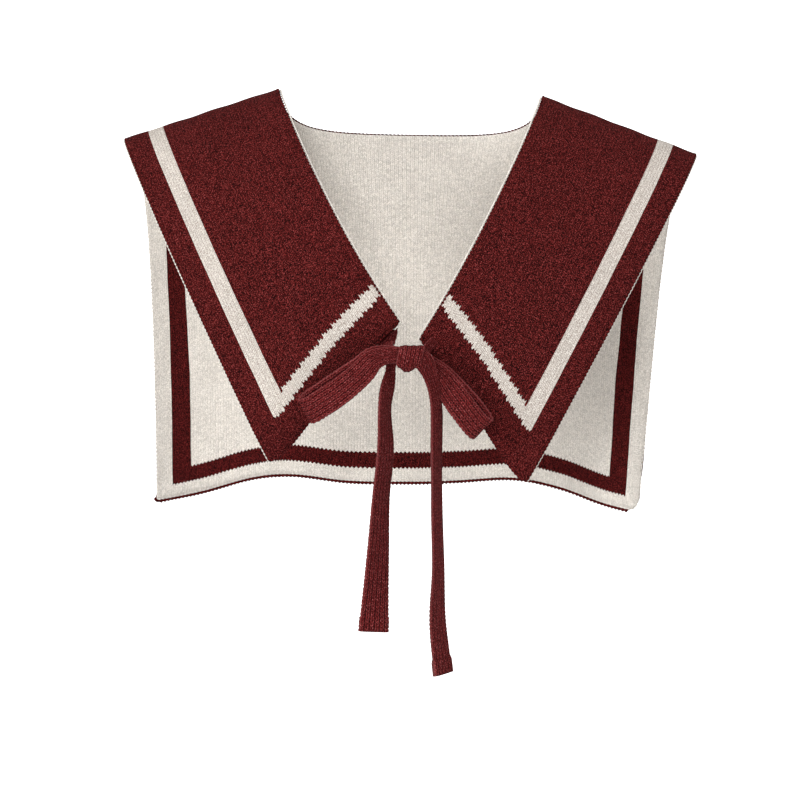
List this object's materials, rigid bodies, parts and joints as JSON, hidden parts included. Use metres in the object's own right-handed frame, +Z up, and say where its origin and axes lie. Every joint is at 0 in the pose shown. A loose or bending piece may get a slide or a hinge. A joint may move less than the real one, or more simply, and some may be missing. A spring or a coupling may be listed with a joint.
{
  "type": "knitted sailor collar with tie bow",
  "caption": "Knitted sailor collar in its worn form: a striped back cape and front lapels in one piece, with straps tied in a bow.",
  "frame": {"origin": "midway between the two neck points, on the line of the shoulders, where the collar sits round the neck", "axes": "+X towards the wearer's left shoulder, +Y from the chest to the back, +Z up"},
  "size_m": [0.3949, 0.1816, 0.3912],
  "materials": {
    "panel_knit": "matte double-faced jacquard knit, burgundy face with a cream stripe, cream reverse with a burgundy stripe",
    "tie_knit": "matte ribbed knit strap in burgundy"
  },
  "bodies": {
    "root": {"collar_panel": "panel_knit", "bow_knot": "tie_knit", "bow_loop_left": "tie_knit", "bow_loop_right": "tie_knit", "bow_tail_left": "tie_knit", "bow_tail_right": "tie_knit", "tie_lead_left": "tie_knit", "tie_lead_right": "tie_knit"}
  },
  "joints": []
}
